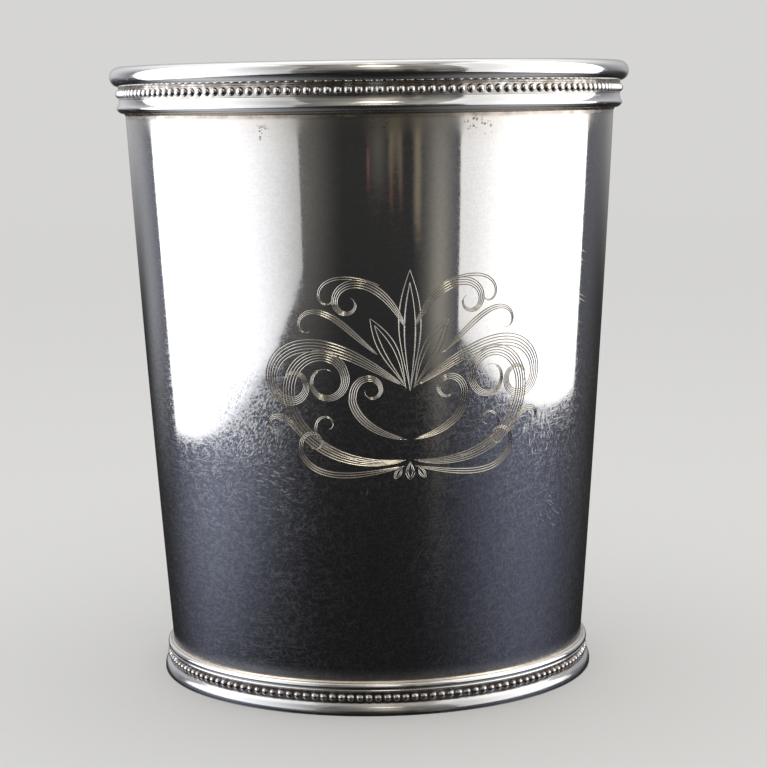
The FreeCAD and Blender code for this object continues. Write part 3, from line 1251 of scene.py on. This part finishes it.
@dataclass(frozen=True)
class Silver:
    """Old polished silver: clear metal between fine lines, and tarnish where a cloth misses."""

    name: str
    colour: Colour = (0.93, 0.92, 0.905)
    tarnish: Colour = (0.26, 0.19, 0.12)
    polish: float = 0.055
    worn: float = 0.42
    families: tuple[Lines, ...] = (
        Lines(0, 0, 9.0, 0.35, 0.50, 0.55, 1.0),
        Lines(24, 8, 8.0, 0.30, 0.56, 0.5, 5.0),
        Lines(-38, -12, 8.0, 0.40, 0.58, 0.45, 9.0),
    )
    wear_cloud: Blotches = Blotches(0.12, 0.3, 0.75, 3.0)
    least_wear: float = 0.45
    clean_at: float = 1.0
    dark_at: float = 0.25
    grime: Blotches = Blotches(0.9, 0.25, 0.6, 7.0)
    tarnish_share: float = 0.85
    tarnish_rough: float = 0.45
    wave: Blotches = Blotches(0.2, 0.0, 1.0, 2.0)
    relief: float = 0.004

    def coat(self, effects: Effects) -> Material:
        """Make the material.

        Args:
            effects: The shared effects.

        Returns:
            The material.
        """
        coat = Coat(self.name, effects)
        room = coat.room
        wear = room.most(*(coat.lines(family) for family in self.families))
        wear = room.times(wear, room.plus(self.least_wear, coat.mask(self.wear_cloud)))
        hidden = effects.place(room, "recess", Clean=self.clean_at, Dark=self.dark_at)
        dark = room.times(hidden, coat.mask(self.grime), self.tarnish_share)
        rough = room.most(coat.rough(wear, self.polish, self.worn), room.times(dark, self.tarnish_rough))
        return coat.finish(room.mix(dark, self.colour, self.tarnish), rough, self.wave, self.relief)


@dataclass(frozen=True)
class WallSilver:
    """The wall's silver, with its scuffed patches, spots and the stain under the rim."""

    name: str = "silver_wall"
    colour: Colour = (0.93, 0.92, 0.905)
    polish: float = 0.045
    worn: float = 0.46
    families: tuple[Lines, ...] = (
        Lines(4, 0, 4.4, 0.5, 0.47, 0.34, 2.0, 0.26),
        Lines(48, -20, 4.0, 1.0, 0.47, 0.36, 3.0, 0.26),
        Lines(-56, 26, 4.0, 1.0, 0.47, 0.36, 5.0, 0.26),
        Lines(88, -30, 4.0, 0.9, 0.49, 0.34, 7.0, 0.26),
        Lines(0, 0, 2.8, 2.4, 0.48, 0.34, 9.0, 0.30),
    )
    wear_cloud: Blotches = Blotches(0.085, 0.32, 0.72, 3.0)
    least_wear: float = 0.7
    cloud_wear: float = 0.5
    # The metal between the lines, darker, and the heights between which wear and tone grow calm
    tone: Colour = (0.30, 0.30, 0.31)
    tone_at: float = 0.30
    tone_share: float = 0.40
    lively: Band = Band(42.0, 62.0)
    calm_share: float = 0.3
    scuffs: tuple[Scuff, ...] = (
        Scuff(-30.0, 43.0, 12.0, Lines(62, 0, 4.4, 1.8, 0.47, 0.95, 11.0)),
        Scuff(-24.0, 34.0, 12.0, Lines(-10, 0, 4.0, 0.8, 0.52, 0.7, 12.0)),
        Scuff(-1.5, 34.0, 6.5, Lines(84, 0, 4.4, 0.8, 0.54, 0.75, 13.0)),
        Scuff(14.0, 25.0, 13.0, Lines(58, 0, 4.4, 0.12, 0.52, 0.5, 15.0)),
        Scuff(44.0, 40.0, 8.0, Lines(86, 0, 4.2, 0.5, 0.55, 0.85, 17.0)),
        Scuff(50.0, 27.0, 9.0, Lines(-50, 0, 4.2, 0.6, 0.53, 0.8, 19.0)),
        Scuff(-28.0, 9.0, 19.0, Lines(0, 0, 4.6, 0.14, 0.48, 0.38, 21.0)),
        Scuff(34.0, 12.0, 20.0, Lines(3, 0, 4.6, 0.14, 0.48, 0.38, 23.0)),
        Scuff(52.0, 62.0, 14.0, Lines(-32, 0, 3.0, 0.12, 0.58, 0.7, 25.0)),
    )
    # The ragged stain under the rim and above the foot
    stain: Colour = (0.33, 0.24, 0.17)
    under_rim: Band = Band(87.5, 86.9)
    at_foot: Band = Band(5.0, 5.9)
    foot_share: float = 0.6
    ragged: Blotches = Blotches(0.5, 0.0, 0.8, 4.0)
    stain_share: float = 0.7
    stain_rough: float = 0.4
    # The warm haze that fades down from the rim, and the dull metal over the foot
    haze: Colour = (0.80, 0.74, 0.66)
    breath: Band = Band(87.6, 79.0)
    haze_share: float = 0.55
    haze_rough: float = 0.30
    over_foot: Band = Band(4.7, 8.4)
    foot_rough: float = 0.34
    # The brown spots, loose in the haze and close together in a few patches
    spot: Colour = (0.21, 0.16, 0.12)
    spot_rough: float = 0.5
    loose: Specks = Specks(2.6, 0.16)
    close: Specks = Specks(0.42, 0.42)
    patches: tuple[Spot, ...] = (
        Spot(22.4, 86.4, 2.0),
        Spot(25.6, 85.9, 1.9),
        Spot(-23.6, 85.2, 1.8),
        Spot(2.0, 86.4, 1.7),
    )
    wave: Blotches = Blotches(0.11, 0.0, 1.0, 2.0)
    relief: float = 0.012

    def coat(self, effects: Effects) -> Material:
        """Make the material.

        Args:
            effects: The shared effects.

        Returns:
            The material.
        """
        coat = Coat(self.name, effects)
        room = coat.room
        wear = room.most(*(coat.lines(family) for family in self.families))
        lively = room.plus(self.calm_share, room.times(coat.mask(self.lively), 1.0 - self.calm_share))
        toned = room.times(room.ramp(wear, self.tone_at, 0.0, 0.0, self.tone_share), lively)
        cloudy = room.plus(self.least_wear, room.times(coat.mask(self.wear_cloud), self.cloud_wear))
        scuffs = [room.times(coat.near(scuff), coat.lines(scuff.lines)) for scuff in self.scuffs]
        wear = room.most(room.times(wear, cloudy, lively), *scuffs)

        breath = coat.mask(self.breath)
        edges = room.most(coat.mask(self.under_rim), room.times(coat.mask(self.at_foot), self.foot_share))
        stained = room.times(edges, coat.mask(self.ragged))
        hazy = room.times(breath, breath, self.haze_share)
        spots = [room.times(coat.near(patch), coat.mask(self.close)) for patch in self.patches]
        spotted = room.most(room.times(coat.mask(self.loose), breath), *spots)
        colour = room.mix(toned, self.colour, self.tone)
        colour = room.mix(hazy, colour, self.haze)
        colour = room.mix(room.times(stained, self.stain_share), colour, self.stain)
        colour = room.mix(spotted, colour, self.spot)
        rough = room.most(coat.rough(wear, self.polish, self.worn), room.times(stained, self.stain_rough),
                          room.times(hazy, self.haze_rough),
                          room.times(coat.mask(self.over_foot), self.foot_rough),
                          room.times(spotted, self.spot_rough))
        return coat.finish(colour, rough, self.wave, self.relief)


def finishes(taper: Taper) -> dict[str, Material]:
    """The cup's materials by name.

    Args:
        taper: The wall's outer face.

    Returns:
        The materials.
    """
    effects = Effects(taper)
    level = (Lines(0, 0, 12.0, 0.25, 0.50, 0.5, 1.0), Lines(30, 20, 8.0, 0.4, 0.58, 0.4, 5.0))
    silvers = {
        "groove": Silver("engraved_groove", (0.80, 0.76, 0.68), polish=0.16, clean_at=0.0, dark_at=-0.07,
                         tarnish_share=0.75),
        "bottom": Silver("silver_bottom", polish=0.10, clean_at=-40.0, dark_at=-41.0),
        "moulding": Silver("silver_moulding", polish=0.085, families=level, clean_at=0.7, dark_at=0.1),
        "strip": Silver("silver_strip", tarnish=(0.28, 0.215, 0.155), families=level, clean_at=1.0,
                        dark_at=0.8, tarnish_share=0.9, tarnish_rough=0.25),
        "beads": Silver("silver_beads", tarnish=(0.20, 0.145, 0.10), families=level, clean_at=1.12,
                        dark_at=0.86, tarnish_share=0.9, tarnish_rough=0.2),
        # Painted shade: the foot ring's clean silver colour is darker than the other silver's, so the ring
        # looks shaded; its rougher polish is wear
        "ring": Silver("silver_ring_painted_shade", (0.66, 0.655, 0.65), polish=0.15, families=level, clean_at=0.7,
                       dark_at=0.1),
        "solder": Silver("silver_solder", (0.80, 0.72, 0.60), (0.42, 0.30, 0.21), polish=0.2,
                         clean_at=0.5, dark_at=-0.3, tarnish_share=0.7),
        "wall": WallSilver(),
    }
    return {name: silver.coat(effects) for name, silver in silvers.items()}


# Studio

@dataclass(frozen=True)
class Eye:
    """The camera at the photograph's viewing angle, looking along +Y."""

    focal_pixels: float = 2168.8
    frame_pixels: float = 768.0
    sensor: float = 36.0
    nearest: float = 0.005
    farthest: float = 20.0
    distance: float = 343.3
    height: float = 89.45
    pitch: float = 7.424
    yaw: float = 0.262
    roll: float = 0.816

    def place(self) -> None:
        """Make the camera and give it to the scene."""
        lens = bpy.data.cameras.new("eye")
        lens.sensor_width = self.sensor
        lens.lens = self.focal_pixels * self.sensor / self.frame_pixels
        lens.clip_start = self.nearest
        lens.clip_end = self.farthest
        pitch, yaw, roll = (math.radians(value) for value in (self.pitch, self.yaw, self.roll))
        forward = Vector((math.sin(yaw) * math.cos(pitch), math.cos(yaw) * math.cos(pitch), -math.sin(pitch)))
        level = Vector((math.cos(yaw), -math.sin(yaw), 0))
        upright = level.cross(forward)
        right = level * math.cos(roll) - upright * math.sin(roll)
        up = level * math.sin(roll) + upright * math.cos(roll)
        turn = Matrix((right, up, -forward)).transposed().to_4x4()
        camera = linked("eye", lens)
        camera.matrix_world = Matrix.Translation(Vector((0, -self.distance, self.height)) * MM) @ turn
        bpy.context.scene.camera = camera


@dataclass(frozen=True)
class Lamp:
    """A soft rectangular light, dimmer over a stretch at one end where it has a hood."""

    name: str
    place: tuple[float, float, float]
    aim: tuple[float, float, float]
    width: float
    height: float
    glow: float
    colour: Colour
    on_floor: bool = False
    dim_from: float = 0.0
    dim_to: float = 0.0
    dim_share: float = 1.0
    dim_lean: float = 0.35

    def hang(self) -> None:
        """Put the light in its place."""
        light = bpy.data.lights.new(self.name, "AREA")
        light.shape = "RECTANGLE"
        light.size = self.width * MM
        light.size_y = self.height * MM
        light.energy = self.glow * light.size * light.size_y * math.pi
        light.color = self.colour
        if self.dim_share < 1:
            self.dim(light)
        thing = linked(self.name, light)
        thing.location = Vector(self.place) * MM
        thing.rotation_euler = (Vector(self.aim) - Vector(self.place)).to_track_quat("-Z", "Y").to_euler()
        thing.visible_camera = False
        thing.visible_diffuse = self.on_floor

    def dim(self, light: bpy.types.Light) -> None:
        """Dim the light towards one end.

        Args:
            light: The light.
        """
        light.use_nodes = True
        lamp = Wiring(light.node_tree)
        place = lamp.node("NewGeometry").outputs["Parametric"]
        across = lamp.node("SeparateXYZ", Vector=place).outputs
        lean = math.copysign(self.dim_lean, self.dim_from - self.dim_to)
        leaning = lamp.plus(across["X"], lamp.times(across["Y"], lean))
        fade = lamp.ramp(leaning, self.dim_from, self.dim_to, self.dim_share)
        lamp.put(fade, light.node_tree.nodes["Emission"].inputs["Strength"])


@dataclass(frozen=True)
class Glow:
    """A soft patch of light in the room round the cup, which the silver mirrors."""

    azimuth: float
    elevation: float
    tightness: float
    colour: Colour
    gone_at: float = -92.0
    full_at: float = -91.0

    def share(self, room: Wiring, way: Socket, elevation: Socket) -> Socket:
        """How much of the glow is seen in a direction.

        Args:
            room: The world's shader.
            way: The direction.
            elevation: The direction's elevation.

        Returns:
            The share, from 0 to 1.
        """
        turn, lift = math.radians(self.azimuth), math.radians(self.elevation)
        middle = (math.cos(lift) * math.sin(turn), -math.cos(lift) * math.cos(turn), math.sin(lift))
        near = room.most(room.step("VectorMath", "DOT_PRODUCT", way, middle), 0.0)
        tight = room.sum("POWER", near, self.tightness)
        return room.times(room.ramp(elevation, self.gone_at, self.full_at), tight)


@dataclass(frozen=True)
class Streak:
    """An upright streak of light in the room in front of the cup."""

    azimuth: float
    half_width: float
    low: float
    high: float
    colour: Colour
    soft: float = 4.0

    def share(self, room: Wiring, azimuth: Socket, elevation: Socket) -> Socket:
        """How much of the streak is seen in a direction.

        Args:
            room: The world's shader.
            azimuth: The direction's azimuth.
            elevation: Its elevation.

        Returns:
            The share, from 0 to 1.
        """
        away = room.sum("ABSOLUTE", room.sum("SUBTRACT", azimuth, self.azimuth))
        rising = room.ramp(elevation, self.low - self.soft, self.low + self.soft)
        falling = room.ramp(elevation, self.high + self.soft, self.high - self.soft)
        return room.times(room.ramp(away, self.half_width, 0.0), room.times(rising, falling))


@dataclass
class Studio:
    """A plain pale floor that sweeps up into a backdrop, and plain soft light."""

    floor_radius: float = 1100.0
    sweep: float = 350.0
    sweep_steps: int = 12
    wall_height: float = 900.0
    columns: int = 96
    floor_colour: Colour = (0.72, 0.715, 0.70)
    floor_rough: float = 0.9
    floor_gloss: float = 0.1
    dome: Colour = (0.93, 0.93, 0.93)
    above: Colour = (0.03, 0.0295, 0.029)
    below: Colour = (0.012, 0.012, 0.013)
    above_from: float = -5.0
    below_from: float = -24.0
    lamps: tuple[Lamp, ...] = (
        Lamp("left_softbox", (-193, -116, 240), (0, -116, 240), 404, 480, 1.6, (0.97, 0.98, 1.0),
             dim_from=1.06, dim_to=0.2, dim_share=0.22),
        Lamp("right_softbox", (198, -56, 243), (99.6, -40.8, 243), 318, 480, 1.6, (1.0, 0.99, 0.965),
             dim_from=-0.02, dim_to=0.62, dim_share=0.48),
        Lamp("ceiling", (0, 10, 430), (0, 10, 0), 420, 300, 0.42, (1.0, 0.99, 0.97), on_floor=True),
        Lamp("key", (34, -430, 500), (0, 0, 60), 145, 80, 2.3, (1.0, 0.94, 0.83), on_floor=True),
    )
    glows: tuple[Glow, ...] = (
        Glow(-90, -12, 5.0, (0.172, 0.187, 0.255), -24.0, -14.5),
        Glow(84, -12, 5.0, (0.106, 0.115, 0.163), -30.0, -14.5),
        Glow(-138, -9, 45.0, (0.20, 0.205, 0.22), -13.0, -6.5),
        Glow(130, 8, 28.0, (0.11, 0.115, 0.13)),
        Glow(-157, 6, 15.0, (0.52, 0.525, 0.545), -7.0, 0.5),
        Glow(160, 6, 16.0, (0.36, 0.36, 0.37), -7.0, 0.5),
        Glow(-146, 42, 12.0, (0.95, 0.96, 0.98)),
        Glow(146, 42, 12.0, (0.95, 0.95, 0.97)),
        Glow(180, 62, 18.0, (0.30, 0.295, 0.29)),
        Glow(-120, 76, 14.0, (0.34, 0.33, 0.32)),
        Glow(-102, -42, 9.0, (0.55, 0.56, 0.60), -21.0, -34.0),
        Glow(98, -42, 9.0, (0.34, 0.34, 0.36), -21.0, -36.0),
        Glow(32.4, -11.2, 300.0, (0.10, 0.09, 0.065)),
    )
    streaks: tuple[Streak, ...] = (
        Streak(-1.0, 1.0, -8.35, -7.6, (0.20, 0.065, 0.055), 0.15),
        Streak(9.4, 1.2, -9.1, -8.35, (0.11, 0.026, 0.022), 0.2),
        Streak(13.8, 1.1, -9.0, -8.4, (0.10, 0.024, 0.020), 0.2),
        Streak(3.5, 6.0, -8.5, 25, (0.055, 0.052, 0.042), 0.7),
        Streak(9.4, 1.9, -8.4, 25, (0.085, 0.072, 0.045), 0.2),
        Streak(13.6, 1.7, -8.45, 25, (0.085, 0.072, 0.048), 0.2),
        Streak(11.4, 3.4, -7.9, 25, (0.085, 0.066, 0.040), 0.25),
        Streak(21.6, 2.7, -9.8, 25, (0.16, 0.13, 0.085), 0.6),
        Streak(33.0, 14.0, -14, 25, (0.11, 0.105, 0.095), 1.4),
        Streak(37.0, 17.0, 26, 100, (0.26, 0.26, 0.25), 10.0),
        Streak(-38.0, 26.0, -12, 25, (0.125, 0.12, 0.108)),
        Streak(0.0, 60.0, 10, 140, (0.18, 0.17, 0.155), 10.0),
        Streak(0.0, 60.0, 38, 140, (0.12, 0.115, 0.105), 8.0),
        Streak(4.0, 12.0, 16, 110, (0.42, 0.38, 0.31), 12.0),
    )

    def build(self) -> None:
        """Make the floor, the lights and the surroundings."""
        self.floor()
        for lamp in self.lamps:
            lamp.hang()
        self.surroundings()

    def floor(self) -> None:
        """The floor and backdrop in one sweep, out of the silver's reflections."""
        bends = np.radians(np.linspace(90, 0, self.sweep_steps + 1))
        rows = [(self.floor_radius + self.sweep, self.wall_height)]
        rows += [(self.floor_radius + self.sweep * math.sin(bend), self.sweep * (1 - math.cos(bend)))
                 for bend in bends]
        rows.append((self.floor_radius / 2, 0.0))
        places = np.vstack([on_circle(*row, around(self.columns)) for row in rows] + [[[0.0, 0.0, 0.0]]])
        rings = [range(start, start + self.columns) for start in range(0, len(places) - 1, self.columns)]
        rings.append([len(places) - 1] * self.columns)
        mesh = bpy.data.meshes.new("floor")
        mesh.from_pydata((places * MM).tolist(), [], webbed(rings))
        mesh.shade_smooth()
        material = bpy.data.materials.new("pale_floor")
        material.use_nodes = True
        room = Wiring(material.node_tree)
        room.fill(material.node_tree.nodes["Principled BSDF"], {
            "Base Color": self.floor_colour, "Roughness": self.floor_rough,
            "Specular IOR Level": self.floor_gloss})
        mesh.materials.append(material)
        thing = linked("floor", mesh)
        thing.visible_glossy = False
        thing.visible_diffuse = False
        thing.visible_shadow = False

    def surroundings(self) -> None:
        """The dim room round the lights, which the silver mirrors, and an even dome for the floor."""
        world = bpy.data.worlds.new("room")
        bpy.context.scene.world = world
        world.cycles.sampling_method = "NONE"
        world.use_nodes = True
        room = Wiring(world.node_tree)
        way = room.node("TexCoord").outputs["Generated"]
        split = room.node("SeparateXYZ", Vector=way).outputs
        turn = room.sum("ARCTAN2", split["X"], room.times(split["Y"], -1.0))
        azimuth = room.times(turn, math.degrees(1))
        elevation = room.times(room.sum("ARCSINE", split["Z"]), math.degrees(1))
        colour = room.mix(room.ramp(elevation, self.below_from, self.above_from), self.below, self.above)
        for glow in self.glows:
            colour = room.mix(glow.share(room, way, elevation), colour, glow.colour, "ADD")
        for streak in self.streaks:
            colour = room.mix(streak.share(room, azimuth, elevation), colour, streak.colour, "ADD")
        colour = room.mix(room.node("LightPath").outputs["Is Diffuse Ray"], colour, self.dome)
        room.put(colour, world.node_tree.nodes["Background"].inputs["Color"])


def main() -> None:
    """Build the cup and its studio."""
    logging.basicConfig(level=logging.INFO, format="%(name)s: %(message)s")
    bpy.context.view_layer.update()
    bpy.context.scene.view_settings.view_transform = "Standard"
    Eye().place()
    taper = Taper(span("rim_lip_wire")[1])
    coats = finishes(taper)
    for part in (Beaker(taper, coats), Rim(taper, coats), Foot(taper, coats)):
        part.build()
    Studio().build()


if __name__ == "__main__":
    main()
